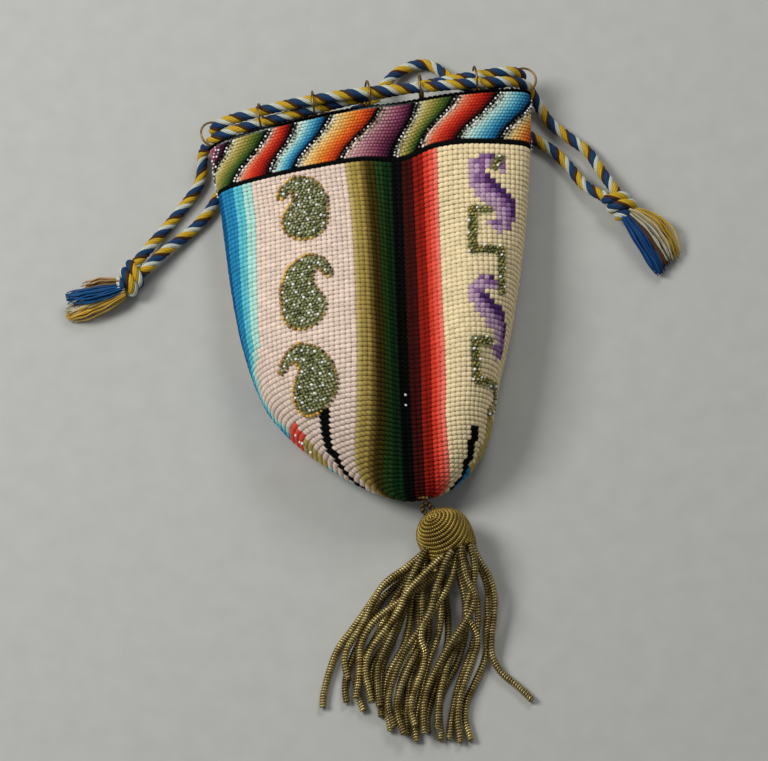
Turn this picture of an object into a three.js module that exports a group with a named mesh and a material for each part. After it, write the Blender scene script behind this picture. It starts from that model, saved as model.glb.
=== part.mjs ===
// A crocheted drawstring reticule with a bullion tassel, lying on its back on a table.
// Millimetres. X to the right, Y from the tassel to the mouth, Z up; z = 0 is the table.
// The origin lies on the flat of the pouch's back.
import * as THREE from "three";

// Pouch: a soft, filled sleeve that closes to a round base, with one deep fold down its front
const pouchLength = 180.5;
const mouthY = 86.5;
const mouthWidth = 143;
const mouthCentre = 3.5;
const mouthSlant = 8;
const sideTaper = 0.235;
const baseRoundness = 4.5;
const baseCloseness = 0.6;
const waistHeight = 14;
const mouthBulge = 14;
const fullBulge = 45;
const mouthLift = 7;
const liftShare = 0.19;
const restPress = 2;
const sideDrift = 9;
const tipDrift = 10.5;
const mouthFold = 3;
const fullFold = 21;
const foldLeft = 11.5;
const foldRight = 18;
const foldStart = 17;
const foldSlope = 14;
const pouchWall = 1.8;

// Shares of the pouch's length over which its shape changes, and how full its two sides are
const slantShare = 0.16;
const driftShare = 0.75;
const tipShare = 0.3;
const bulgeShare = 0.85;
const foldShare = 0.8;
const frontRoundness = 0.75;
const backRoundness = 0.4;
const baseFlatness = 1.3;

// Lining: a thin silk bag inside the pouch, its edge just proud of the mouth
const liningWall = 0.6;
const liningLip = 1;

// Rings sewn round the mouth, each wide enough for two cords
const ringCount = 12;
const ringWire = 0.9;
const cordDiameter = 4.6;
const cordEase = 0.5;

// Knots and tufts at the cords' ends
const knotRadius = 6.4;
const knotLength = 13;
const tuftWidth = 11;
const tuftThickness = 6;
const tuftLength = 27;

// Tassel: a wrapped head on a thread loop, and bullion strands
const headDiameter = 24;
const headLength = 21;
const headWraps = 8;
const headLean = 0.36;
const headSwing = 0.49;
const headSetback = 17.6;
const headRoundness = 0.74;
const headShoulder = 0.12;
const wrapRidge = 0.06;
const loopThread = 1.9;
const loopWidth = 3.4;
const dimpleDepth = 5;
const strandCount = 24;
const strandDiameter = 3.1;
const strandLength = 92;
const fanWidth = 54;
const fanOpening = 5;
const fanLean = -0.41;
const fanRest = -0.12;
const strayReach = 21;
const strayLength = 0.69;
const shortestStrand = 0.8;

// Clearance between pieces that touch, and how finely the curved forms are divided
const gap = 0.3;
const pouchColumns = 44;
const pouchRows = 15;
const liningRows = 10;
const sleeveRows = 0.66;
const sleeveShare = 0.746;
const sectionSteps = 220;
const strandStations = 10;

const part = new THREE.Group();
const outOfMouth = new THREE.Vector3(0, 1, 0);

function addMesh(name, geometry, color, roughness, metalness) {
  const material = new THREE.MeshStandardMaterial({ color, roughness, metalness });
  const mesh = new THREE.Mesh(geometry, material);
  mesh.name = name;
  part.add(mesh);
  return mesh;
}

function smooth(value) {
  const q = Math.min(1, Math.max(0, value));
  return q * q * (3 - 2 * q);
}

// Pouch surface. A station is the share of the pouch's length below the mouth, from 0 to 1.
function closure(station) {
  return Math.max(0, 1 - Math.max(0, station) ** baseRoundness) ** baseCloseness;
}

function halfWidth(station) {
  return 0.5 * mouthWidth * (1 - sideTaper * station) * closure(station);
}

function centreX(station) {
  const side = sideDrift * smooth(station / driftShare);
  return mouthCentre - side + tipDrift * smooth((station - 1 + tipShare) / tipShare);
}

function bulge(station) {
  return (mouthBulge + (fullBulge - mouthBulge) * smooth(station / bulgeShare)) * closure(station);
}

function foldDepth(station) {
  const run = 1 - Math.min(1, Math.max(0, station) / foldShare);
  return (mouthFold + (fullFold - mouthFold) * (1 - run * run)) * closure(station);
}

function foldX(station) {
  return foldStart - foldSlope * station;
}

function surfacePoint(station, angle) {
  const half = halfWidth(station);
  const x = centreX(station) + half * Math.cos(angle);
  const rise = Math.sin(angle);
  const across = (x - centreX(station) - half) / (2 * half);
  const slant = mouthSlant * across * across * (1 - smooth(station / slantShare));
  const y = mouthY - pouchLength * station - slant;
  if (rise >= 0) {
    const away = x - foldX(station);
    const reach = away < 0 ? foldLeft : foldRight;
    const fold = foldDepth(station) * Math.exp(-((away / reach) ** 2)) * Math.min(1, 2 * rise);
    return new THREE.Vector3(x, y, waistHeight + bulge(station) * rise ** frontRoundness - fold);
  }
  const lift = mouthLift * (1 - smooth(station / liftShare));
  const fall = waistHeight - lift;
  const press = Math.min(fall, (fall + restPress) * (-rise) ** backRoundness);
  return new THREE.Vector3(x, y, waistHeight - press * Math.min(1, baseFlatness * closure(station)));
}

// Points at equal steps of length along half of a station's outline, from one side line to the other
function halfLoop(station, start) {
  const outline = new THREE.CurvePath();
  let from = surfacePoint(station, start);
  for (let k = 1; k <= sectionSteps; k += 1) {
    const to = surfacePoint(station, start - (Math.PI * k) / sectionSteps);
    outline.add(new THREE.LineCurve3(from, to));
    from = to;
  }
  const count = pouchColumns / 2;
  return Array.from({ length: count }, (_, k) => outline.getPoint(k / count));
}

// A closed loop from the right side line, under the back to the left one, and over the front
function sectionLoop(station) {
  return [...halfLoop(station, 0), ...halfLoop(station, -Math.PI)];
}

// Rows lie at even steps down the sleeve and round the base
function rowStation(row) {
  const share = row / pouchRows;
  if (share < sleeveRows) {
    return (share * sleeveShare) / sleeveRows;
  }
  const turn = (0.5 * Math.PI * (share - sleeveRows)) / (1 - sleeveRows);
  return sleeveShare + (1 - sleeveShare) * Math.sin(turn);
}

const tip = new THREE.Vector3(centreX(1), mouthY - pouchLength, waistHeight);
const stations = Array.from({ length: pouchRows }, (_, row) => rowStation(row));
const outerRows = stations.map(sectionLoop);

// The way in, square to the surface, at each point of each row
const inwards = outerRows.map((loop, row) => loop.map((point, column) => {
  const right = loop[(column + 1) % pouchColumns];
  const left = loop[(column + pouchColumns - 1) % pouchColumns];
  const above = outerRows[Math.max(0, row - 1)][column];
  const below = row + 1 < pouchRows ? outerRows[row + 1][column] : tip;
  return right.clone().sub(left).cross(below.clone().sub(above)).normalize();
}));

function insetRow(row, depth) {
  const ways = inwards[row];
  return outerRows[row].map((point, column) => point.clone().addScaledVector(ways[column], depth));
}

// A closed solid through loops of points, with a centre point at either end.
// The first loops of a wall run backwards, so their faces are split along the other diagonal.
function loft(loops, firstCentre, lastCentre, backwards = 0) {
  const count = loops[0].length;
  const positions = [firstCentre, ...loops.flat(), lastCentre].flatMap((point) => point.toArray());
  const index = [];
  const at = (loop, column) => 1 + loop * count + (column % count);
  const end = 1 + loops.length * count;
  for (let column = 0; column < count; column += 1) {
    index.push(0, at(0, column), at(0, column + 1));
    for (let loop = 0; loop + 1 < loops.length; loop += 1) {
      const near = [at(loop, column), at(loop + 1, column)];
      const next = [at(loop + 1, column + 1), at(loop, column + 1)];
      const corners = [...near, ...next];
      const turn = loop < backwards ? 1 : 0;
      index.push(corners[turn], corners[turn + 1], corners[turn + 2]);
      index.push(corners[turn], corners[turn + 2], corners[(turn + 3) % 4]);
    }
    index.push(end, at(loops.length - 1, column + 1), at(loops.length - 1, column));
  }
  const geometry = new THREE.BufferGeometry();
  geometry.setAttribute("position", new THREE.Float32BufferAttribute(positions, 3));
  geometry.setIndex(index);
  return geometry;
}

function meanPoint(points) {
  const sum = points.reduce((total, point) => total.add(point), new THREE.Vector3());
  return sum.divideScalar(points.length);
}

function addPouch() {
  const inner = stations.map((_, row) => insetRow(row, pouchWall));
  const innerTip = tip.clone().addScaledVector(outOfMouth, pouchWall);
  const loops = [...inner.toReversed(), ...outerRows];
  addMesh("pouch", loft(loops, innerTip, tip, pouchRows), 0xd9b9a8, 0.9, 0);
}

function lipRow(depth) {
  return insetRow(0, depth).map((point) => point.addScaledVector(outOfMouth, liningLip));
}

function addLining() {
  const depth = pouchWall + gap;
  const rows = Array.from({ length: liningRows }, (_, row) => row);
  const outside = [lipRow(depth), ...rows.map((row) => insetRow(row, depth))];
  const inside = [lipRow(depth + liningWall), ...rows.map((row) => insetRow(row, depth + liningWall))];
  const outerEnd = meanPoint(outside.at(-1));
  const innerEnd = meanPoint(inside.at(-1)).addScaledVector(outOfMouth, liningWall);
  const loops = [...inside.toReversed(), ...outside];
  addMesh("lining", loft(loops, innerEnd, outerEnd, liningRows + 1), 0x9aa69a, 0.6, 0);
}

// Rings stand on the lining's edge, square to it, from the right corner round the back
const cordOffset = 0.5 * (cordDiameter + cordEase);
const ringInner = cordOffset + 0.5 * cordDiameter + cordEase;
const ringMean = ringInner + 0.5 * ringWire;
const ringOuter = ringInner + ringWire;
const seatCurve = new THREE.CatmullRomCurve3(lipRow(pouchWall + gap + 0.5 * liningWall), true);

const ringPlaces = Array.from({ length: ringCount }, (_, k) => {
  const share = k / ringCount;
  const along = seatCurve.getTangentAt(share);
  along.y = 0;
  along.normalize();
  const seat = seatCurve.getPointAt(share);
  return { along, centre: seat.addScaledVector(outOfMouth, ringOuter + gap) };
});

function ringName(k) {
  const side = ringCount / 2;
  if (k === 0) {
    return "ring_right";
  }
  if (k === side) {
    return "ring_left";
  }
  return k < side ? `ring_back_${k}` : `ring_front_${k - side}`;
}

function addRings() {
  ringPlaces.forEach(({ along, centre }, k) => {
    const geometry = new THREE.TorusGeometry(ringMean, 0.5 * ringWire, 5, 12);
    const ring = addMesh(ringName(k), geometry, 0x8a6a35, 0.4, 0.9);
    const aside = outOfMouth.clone().cross(along);
    ring.quaternion.setFromRotationMatrix(new THREE.Matrix4().makeBasis(aside, outOfMouth, along));
    ring.position.copy(centre);
  });
}

// A round tube along a smooth open curve
function tubeGeometry(curve, diameter, sides, steps) {
  const section = new THREE.Shape();
  for (let k = 0; k < sides; k += 1) {
    const angle = (2 * Math.PI * k) / sides;
    const corner = [0.5 * diameter * Math.cos(angle), 0.5 * diameter * Math.sin(angle)];
    if (k === 0) {
      section.moveTo(...corner);
    } else {
      section.lineTo(...corner);
    }
  }
  section.closePath();
  return new THREE.ExtrudeGeometry(section, { steps, extrudePath: curve, bevelEnabled: false });
}

// Cords: each runs once round the mouth through the rings, one outside the other,
// and both of its ends come to one knot on the table. Their routes are given from the mouth's corners.
const cordRest = 0.5 * cordDiameter + 0.1;
const rightCorner = ringPlaces[0].centre;
const leftCorner = ringPlaces[ringCount / 2].centre;
const bowRing = ringPlaces[ringCount / 6].centre;

function beside(corner, ...steps) {
  return steps.map(([x, y, z = cordRest]) => new THREE.Vector3(corner.x + x, corner.y + y, z));
}

const leftKnot = {
  centre: beside(leftCorner, [-43.6, -59.8, knotRadius])[0],
  lean: new THREE.Vector3(0.69, 0.72, 0).normalize(),
  tuftHeading: new THREE.Vector3(-0.96, -0.27, 0).normalize(),
};
const rightKnot = {
  centre: beside(rightCorner, [35.4, -61.3, knotRadius])[0],
  lean: new THREE.Vector3(-0.52, 0.85, 0).normalize(),
  tuftHeading: new THREE.Vector3(0.54, -0.84, 0).normalize(),
};

function knotEnd({ centre, lean }, side, out) {
  const across = new THREE.Vector3(-lean.y, lean.x, 0);
  const end = centre.clone().addScaledVector(lean, 0.5 * knotLength + gap + out);
  return end.addScaledVector(across, side * cordOffset);
}

// Where a cord passes a ring: inside the other cord at its own knot's corner, outside it at the other
function ringPass(k, side) {
  const { along, centre } = ringPlaces[k % ringCount];
  const half = ringCount / 2;
  const turn = (Math.PI * Math.abs(half - (k % ringCount))) / half;
  const aside = outOfMouth.clone().cross(along);
  const offset = aside.multiplyScalar(Math.sin(turn)).addScaledVector(outOfMouth, -Math.cos(turn));
  const middle = centre.clone().addScaledVector(offset, side * cordOffset);
  const corner = k % half === 0;
  const reach = corner ? ringMean * 0.6 : 0;
  return corner ? [-reach, reach].map((step) => middle.clone().addScaledVector(along, step)) : [middle];
}

function ringRun(first, last, side) {
  return Array.from({ length: last - first + 1 }, (_, k) => ringPass(first + k, side)).flat();
}

const cordLift = 1.1 * cordDiameter;
const bowLift = 0.85 * bowRing.z;
const leadIn = 5;
const leftCordRoute = [
  knotEnd(leftKnot, 1, 0),
  knotEnd(leftKnot, 1, leadIn),
  ...beside(leftCorner, [-22.6, -33.3], [-12.6, -22.3], [-6.6, -12.3], [-5.6, -3.3, cordLift]),
  ...ringRun(ringCount / 2, ringCount + 1, 1),
  ...beside(bowRing, [18.1, 4.8, bowLift], [11.1, 14.3, cordDiameter], [2.1, 20.8]),
  ...beside(bowRing, [-9.9, 15.8, cordDiameter], [-17.9, 6.8, bowLift]),
  ...ringRun(ringCount + 3, 1.5 * ringCount - 1, 1),
  ...beside(leftCorner, [12.4, -1.3, cordLift], [5.4, -9.3], [1.4, -18.3], [-3.6, -28.3]),
  ...beside(leftCorner, [-13.6, -38.3]),
  knotEnd(leftKnot, -1, leadIn),
  knotEnd(leftKnot, -1, 0),
];
const rightCordRoute = [
  knotEnd(rightKnot, 1, 0),
  knotEnd(rightKnot, 1, leadIn),
  ...beside(rightCorner, [18.4, -47.3], [15.4, -37.3], [8.4, -29.3], [-0.6, -21.3]),
  ...beside(rightCorner, [-7.6, -12.3], [-12.6, -2.3, cordLift]),
  ...ringRun(1, ringCount, -1),
  ...beside(rightCorner, [5.4, -7.3, cordLift], [9.4, -16.3], [16.4, -24.3], [24.4, -32.3]),
  knotEnd(rightKnot, -1, leadIn),
  knotEnd(rightKnot, -1, 0),
];

function addCords() {
  [["cord_left", leftCordRoute], ["cord_right", rightCordRoute]].forEach(([name, route]) => {
    const curve = new THREE.CatmullRomCurve3(route);
    addMesh(name, tubeGeometry(curve, cordDiameter, 8, 36), 0x6f7a5a, 0.85, 0);
  });
}

// A knot: the cord's three turns drawn tight, flat where the cords and the tuft meet it
function knotGeometry() {
  const turns = 3;
  const end = 2 * cordOffset;
  const profile = [new THREE.Vector2(0, -0.5 * knotLength), new THREE.Vector2(end, -0.5 * knotLength)];
  for (let k = 1; k < 4 * turns; k += 1) {
    const share = k / (4 * turns);
    const swell = end + (knotRadius - end) * Math.abs(Math.sin(share * turns * Math.PI)) ** 0.7;
    profile.push(new THREE.Vector2(swell, (share - 0.5) * knotLength));
  }
  profile.push(new THREE.Vector2(end, 0.5 * knotLength), new THREE.Vector2(0, 0.5 * knotLength));
  return new THREE.LatheGeometry(profile, 10);
}

// A tuft: the unravelled plies, gathered at the knot and spread flat on the table
function tuftGeometry({ centre, lean, tuftHeading }) {
  const back = lean.clone().negate();
  const root = centre.clone().addScaledVector(back, 0.5 * knotLength + gap);
  const corner = root.clone().addScaledVector(back, 0.35 * tuftLength);
  const far = corner.clone().addScaledVector(tuftHeading, 0.65 * tuftLength);
  far.z = 0.5 * tuftThickness;
  const spine = new THREE.QuadraticBezierCurve3(root, corner, far);
  const loops = [0, 0.25, 0.55, 0.8, 1].map((share) => {
    const middle = spine.getPoint(share);
    const tangent = spine.getTangent(share).setZ(0).normalize();
    const across = new THREE.Vector3(-tangent.y, tangent.x, 0);
    const wide = 0.5 * (cordDiameter + (tuftWidth - cordDiameter) * Math.sin(share * 2));
    const tall = 0.5 * (cordDiameter + (tuftThickness - cordDiameter) * share);
    return Array.from({ length: 12 }, (_, k) => {
      const angle = (2 * Math.PI * k) / 12;
      const edge = middle.clone().addScaledVector(across, wide * Math.cos(angle));
      edge.z = Math.max(0, edge.z + tall * Math.sin(angle));
      return edge;
    });
  });
  return loft(loops.toReversed(), spine.getPoint(1), root);
}

function addKnot(side, knot) {
  const mesh = addMesh(`knot_${side}`, knotGeometry(), 0x6f7a5a, 0.85, 0);
  mesh.position.copy(knot.centre);
  mesh.quaternion.setFromUnitVectors(outOfMouth, knot.lean);
  addMesh(`tuft_${side}`, tuftGeometry(knot), 0x7d7a58, 0.85, 0);
}

// Tassel head: wound thread in ridges over a bulb, with a dimple for the loop
function heading(lean) {
  return new THREE.Vector3(Math.sin(lean), -Math.cos(lean), 0);
}

const headAxis = heading(headLean);
const headCentre = tip.clone().addScaledVector(heading(headSwing), headSetback);
headCentre.z = 0.5 * headDiameter;

function addHead() {
  const rim = 0.5 * loopWidth + loopThread + gap;
  const radius = 0.5 * headDiameter;
  const profile = [new THREE.Vector2(0, 0.5 * headLength - dimpleDepth)];
  profile.push(new THREE.Vector2(rim, 0.5 * headLength - dimpleDepth));
  for (let k = 0; k <= 2 * headWraps; k += 1) {
    const share = k / (2 * headWraps);
    const angle = share * headRoundness * Math.PI + headShoulder;
    const wrap = 1 - wrapRidge * ((k + 1) % 2);
    const swell = rim + (radius - rim) * Math.sin(angle) ** 0.8 * wrap;
    profile.push(new THREE.Vector2(swell, headLength * (0.5 - share)));
  }
  profile.push(new THREE.Vector2(0, -0.5 * headLength));
  const geometry = new THREE.LatheGeometry(profile.toReversed(), 20);
  const head = addMesh("tassel_head", geometry, 0x5a4620, 0.5, 0.6);
  head.quaternion.setFromUnitVectors(outOfMouth, headAxis.clone().negate());
  head.position.copy(headCentre);
}

// Thread loop: a closed ring of thread, caught at the base's tip and deep in the head's dimple.
// The tassel swings about the loop's upper bend and lifts about its lower one.
const loopEnd = 0.5 * (loopWidth + loopThread) + gap;
const loopSeat = headCentre.clone().addScaledVector(headAxis, dimpleDepth - 0.5 * headLength - loopEnd);
const loopRun = loopSeat.clone().sub(tip).normalize();
const loopTop = tip.clone().addScaledVector(loopRun, -loopEnd / loopRun.y);

function addLoop() {
  const aside = new THREE.Vector3(loopRun.y, -loopRun.x, 0).normalize();
  const bend = (centre, from) => Array.from({ length: 5 }, (_, k) => {
    const angle = from + (Math.PI * k) / 4;
    const point = centre.clone().addScaledVector(aside, 0.5 * loopWidth * Math.cos(angle));
    return point.addScaledVector(loopRun, -0.5 * loopWidth * Math.sin(angle));
  });
  const curve = new THREE.CatmullRomCurve3([...bend(loopTop, 0), ...bend(loopSeat, Math.PI)], true);
  const geometry = new THREE.TubeGeometry(curve, 20, 0.5 * loopThread, 6, true);
  addMesh("tassel_loop", geometry, 0x6a5426, 0.6, 0.3);
}

// Strands leave the head in three rings, fall to the table and spread into a fan.
// At each step down the tassel they are pushed apart and rest on the table or each other.
// Shares of a strand's length: where the fan ends, and how long it keeps its first and last ways.
const rootStraight = 0.03;
const fanShare = 0.94;
const leaveShare = 0.26;
const arriveShare = 0.36;
const stepFall = 3;
const strayBend = 0.6;
const ringTurn = 0.62;
const strandSpacing = 1.26 * (strandDiameter + gap);
const rootSpread = [0.105, 0.25, 0.39];
const rootRings = rootSpread.map((spread, ring) => ({
  count: Math.round((strandCount * (ring + 1)) / 6),
  radius: spread * headDiameter,
}));

function hash(value) {
  const wave = Math.sin(value * 12.9898) * 43758.5453;
  return wave - Math.floor(wave);
}

function strandRoots() {
  const roots = rootRings.flatMap(({ count, radius }, ring) => Array.from({ length: count }, (_, k) => {
    const angle = (2 * Math.PI * (k + ringTurn * ring)) / count;
    return { across: radius * Math.cos(angle), height: headCentre.z + radius * Math.sin(angle) };
  }));
  return roots.slice(0, strandCount).sort((a, b) => a.across - b.across || a.height - b.height);
}

function pushApart(strands) {
  const floor = 0.5 * strandDiameter + 0.1;
  const settlingPasses = 300;
  for (let pass = 0; pass < settlingPasses; pass += 1) {
    strands.forEach((one, i) => strands.slice(i + 1).forEach((other) => {
      const dx = other.across - one.across;
      const dz = other.height - one.height;
      const distance = Math.hypot(dx, dz);
      const push = 0.5 * (strandSpacing - distance) / distance;
      if (push > 0) {
        one.across -= dx * push;
        one.height -= dz * push;
        other.across += dx * push;
        other.height += dz * push;
      }
    }));
    strands.forEach((one) => {
      one.height = Math.max(floor, one.height);
    });
  }
}

function fanHalf(share) {
  const root = rootRings.at(-1).radius;
  return root + (0.5 * fanWidth - root) * (1 - (1 - share) ** fanOpening);
}

function strandPaths() {
  const start = headCentre.clone().addScaledVector(headAxis, 0.5 * headLength + gap);
  const far = start.clone().addScaledVector(heading(fanLean), fanShare * strandLength);
  const leave = start.clone().addScaledVector(headAxis, leaveShare * strandLength);
  const arrive = far.clone().addScaledVector(heading(fanRest), -arriveShare * strandLength);
  const spine = new THREE.CubicBezierCurve3(start, leave, arrive, far);
  const strands = strandRoots();
  const sideways = new THREE.Vector3(-headAxis.y, headAxis.x, 0);
  const paths = strands.map(({ across, height }) => {
    return [start.clone().addScaledVector(sideways, across).setZ(height)];
  });
  for (let k = 0; k < strandStations; k += 1) {
    const share = k / (strandStations - 1);
    const middle = spine.getPoint(Math.max(share, rootStraight));
    const tangent = spine.getTangent(share);
    const aside = new THREE.Vector3(-tangent.y, tangent.x, 0);
    if (k > 0) {
      const widen = fanHalf(share) - fanHalf((k - 1) / (strandStations - 1));
      strands.forEach((strand, i) => {
        strand.across += widen * ((2 * i) / (strands.length - 1) - 1);
        strand.height -= stepFall;
      });
      pushApart(strands);
    }
    strands.forEach((strand, i) => {
      const point = middle.clone().addScaledVector(aside, strand.across);
      if (i + 1 === strands.length) {
        point.x += strayReach * smooth((share / strayLength - strayBend) / (1 - strayBend));
      }
      paths[i].push(point.setZ(strand.height));
    });
  }
  return paths;
}

function addStrands() {
  strandPaths().forEach((path, i) => {
    const whole = new THREE.CatmullRomCurve3(path);
    const longer = (hash(i + 1) + i / strandCount) / 2;
    const usual = shortestStrand + (1 - shortestStrand) * longer;
    const reach = i + 1 === strandCount ? strayLength : usual;
    const steps = strandStations - 1;
    const route = path.map((_, k) => whole.getPoint((reach * Math.min(k, steps)) / steps)).slice(0, -1);
    const name = `strand_${String(i + 1).padStart(2, "0")}`;
    const geometry = tubeGeometry(new THREE.CatmullRomCurve3(route), strandDiameter, 6, steps);
    addMesh(name, geometry, 0x5f4b22, 0.45, 0.7);
  });
}

addPouch();
addLining();
addRings();
addCords();
addKnot("left", leftKnot);
addKnot("right", rightKnot);
addHead();
addLoop();
addStrands();

export default part;
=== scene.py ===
import math

import bmesh
import bpy
import numpy as np
from mathutils import Matrix, Vector


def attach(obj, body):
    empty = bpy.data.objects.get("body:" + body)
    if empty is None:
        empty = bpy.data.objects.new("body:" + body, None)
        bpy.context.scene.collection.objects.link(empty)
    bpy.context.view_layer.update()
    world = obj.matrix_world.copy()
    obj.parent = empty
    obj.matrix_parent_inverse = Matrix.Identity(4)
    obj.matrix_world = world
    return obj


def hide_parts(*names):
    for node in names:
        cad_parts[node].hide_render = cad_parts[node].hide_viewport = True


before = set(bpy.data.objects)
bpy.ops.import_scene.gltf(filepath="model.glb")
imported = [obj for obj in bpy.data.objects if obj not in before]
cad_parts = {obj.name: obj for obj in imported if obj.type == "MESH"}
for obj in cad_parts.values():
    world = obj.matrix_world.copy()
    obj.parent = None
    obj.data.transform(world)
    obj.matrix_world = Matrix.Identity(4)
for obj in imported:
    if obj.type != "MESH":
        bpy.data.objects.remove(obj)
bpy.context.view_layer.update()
MM = 0.001
rng = np.random.default_rng(11)

# Camera: high over the bag, a little from the tassel's end, turned slightly anticlockwise.
ELEVATION = math.radians(70)
ROLL = math.radians(7)
AIM = Vector((-4.2, -32.3, 0)) * MM
MM_PER_PIXEL = 0.435
PHOTO_WIDTH = 768
SENSOR = 36
LENS = 250


def add_object(name, data):
    thing = bpy.data.objects.new(name, data)
    bpy.context.collection.objects.link(thing)
    return thing


def place_camera():
    data = bpy.data.cameras.new("camera")
    data.lens = LENS
    data.sensor_width = SENSOR
    eye = add_object("camera", data)
    turn = Matrix.Rotation(math.pi / 2 - ELEVATION, 4, "X") @ Matrix.Rotation(-ROLL, 4, "Z")
    distance = MM_PER_PIXEL * MM * PHOTO_WIDTH * LENS / SENSOR
    eye.matrix_world = Matrix.Translation(AIM) @ turn @ Matrix.Translation((0, 0, distance))
    bpy.context.scene.camera = eye


place_camera()
bpy.context.scene.view_settings.view_transform = "Standard"


# Colours and materials
def linear(code):
    """An sRGB hex colour in linear light."""
    parts = [int(code[k:k + 2], 16) / 255 for k in (0, 2, 4)]
    return [v / 12.92 if v <= 0.04045 else ((v + 0.055) / 1.055) ** 2.4 for v in parts]


def rgba(code):
    return (*linear(code), 1.0)


def plug(tree, node, sockets):
    """Links a node's sockets to others, or sets their values."""
    for name, value in sockets.items():
        if isinstance(value, bpy.types.NodeSocket):
            tree.links.new(value, node.inputs[name])
        else:
            node.inputs[name].default_value = value


def add(tree, kind, output, sockets=None, **settings):
    """Adds a node with its settings and sockets, and gives one of its outputs."""
    node = tree.nodes.new(kind)
    for name, value in settings.items():
        setattr(node, name, value)
    plug(tree, node, sockets or {})
    return node.outputs[output]


def dye_and_shade(tree):
    """The colour that the mesh itself carries: its dyes, with the painted shade of stitches' holes and wires'
    grooves multiplied in.
    """
    return add(tree, "ShaderNodeAttribute", "Color", attribute_name="dye_and_shade")


def own_place(tree):
    return add(tree, "ShaderNodeTexCoord", "Object")


def noise(tree, grain, detail):
    """Soft spots, about a grain apart."""
    return add(tree, "ShaderNodeTexNoise", "Fac",
               {"Vector": own_place(tree), "Scale": 1 / grain, "Detail": detail})


def spread(tree, value, low, high, start=0.0, end=1.0):
    """A value from start to end, brought to the range from low to high."""
    return add(tree, "ShaderNodeMapRange", "Result",
               {"Value": value, "From Min": start, "From Max": end, "To Min": low, "To Max": high})


def between(tree, share, dark, bright):
    return add(tree, "ShaderNodeMix", "Result",
               {"Factor": share, "A": rgba(dark), "B": rgba(bright)}, data_type="RGBA")


def times(tree, colour, tone):
    return add(tree, "ShaderNodeVectorMath", "Vector", {0: colour, 1: tone}, operation="MULTIPLY")


def bump(tree, height, strength, depth):
    return add(tree, "ShaderNodeBump", "Normal", {"Height": height, "Strength": strength, "Distance": depth})


def new_material(name):
    material = bpy.data.materials.new(name)
    material.use_nodes = True
    return material, material.node_tree


def dress(material, **sockets):
    """Gives a material's shader its links and values."""
    tree = material.node_tree
    plug(tree, tree.nodes["Principled BSDF"],
         {name.replace("_", " "): value for name, value in sockets.items()})
    return material


def dyed_wool():
    """Worsted wool, spun and crocheted: quite matt, with fibres about 0.5 mm apart."""
    material, tree = new_material("crocheted_wool")
    fibre = noise(tree, 0.5 * MM, 3.0)
    uneven = spread(tree, fibre, 0.8, 1.12, 0.3, 0.7)
    return dress(material, Base_Color=times(tree, dye_and_shade(tree), uneven), Roughness=0.9,
                 Specular_IOR_Level=0.08, Normal=bump(tree, fibre, 0.35, 0.3 * MM))


def bead_glass():
    """Pressed glass seed beads: hard, bright highlights over a clear colour."""
    material, tree = new_material("seed_bead_glass")
    return dress(material, Base_Color=dye_and_shade(tree), Roughness=0.22, IOR=1.52)


def silk():
    """Grey-green silk taffeta: a soft sheen and fine slubs across it, about 0.6 mm apart."""
    material, tree = new_material("silk_taffeta")
    weave = add(tree, "ShaderNodeTexWave", "Fac",
                {"Vector": own_place(tree), "Scale": 1 / (0.6 * MM * 20), "Distortion": 2.0},
                bands_direction="Y")
    tone = between(tree, noise(tree, 4 * MM, 4.0), "6d776c", "8f9a90")
    return dress(material, Base_Color=tone, Roughness=0.5, Sheen_Weight=0.3,
                 Normal=bump(tree, weave, 0.3, 0.2 * MM))


def aged_brass():
    """Drawn brass wire, dulled by handling: brown in patches, bright where it is rubbed."""
    material, tree = new_material("aged_brass_wire")
    patch = noise(tree, 4 * MM, 3.0)
    return dress(material, Base_Color=between(tree, patch, "5a4426", "a8844a"), Metallic=1.0,
                 Roughness=spread(tree, patch, 0.5, 0.28))


def cord_cotton():
    """Mercerised cotton plies: a slight lustre, and fibres along each ply about 0.3 mm apart."""
    material, tree = new_material("mercerised_cotton")
    along = add(tree, "ShaderNodeUVMap", "UV", uv_map="run")
    fibre = add(tree, "ShaderNodeTexWave", "Fac",
                {"Vector": along, "Scale": 0.9, "Distortion": 1.5, "Detail": 2.0}, bands_direction="DIAGONAL")
    uneven = spread(tree, fibre, 0.62, 1.12)
    return dress(material, Base_Color=times(tree, dye_and_shade(tree), uneven), Roughness=0.65,
                 Specular_IOR_Level=0.25, Normal=bump(tree, fibre, 0.5, 0.3 * MM))


def gilt_wire(name, dark, bright, roughness):
    """Gilt copper wire wound into a coil, tarnished: dark gold with brighter rubbed places."""
    material, tree = new_material(name)
    rubbed = spread(tree, noise(tree, 6 * MM, 4.0), 0.0, 1.0, 0.3, 0.7)
    return dress(material, Base_Color=times(tree, between(tree, rubbed, dark, bright), dye_and_shade(tree)),
                 Metallic=0.7, Roughness=roughness)


WOOL = dyed_wool()
BEAD = bead_glass()
SILK = silk()
BRASS = aged_brass()
COTTON = cord_cotton()
BULLION = gilt_wire("bullion_wire", "957a38", "ecd68e", 0.26)
HEAD_GILT = gilt_wire("gilt_wrapped_thread", "8c7028", "c4a64c", 0.36)
NECK_THREAD = gilt_wire("dark_neck_thread", "2a200f", "6a5630", 0.55)


# Mesh helpers. Points are worked out in millimetres and become metres in the mesh.
UP = np.array([0.0, 0.0, 1.0])
WELD = 1e-6


def finish_piece(name, mesh, material, body, replaced=()):
    """Makes a mesh into a smooth piece of the scene that rides on a body."""
    mesh.name = name
    piece = add_object(name, mesh)
    mesh.materials.append(material)
    mesh.polygons.foreach_set("use_smooth", [True] * len(mesh.polygons))
    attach(piece, body)
    if replaced:
        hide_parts(*replaced)
    return piece


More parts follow.
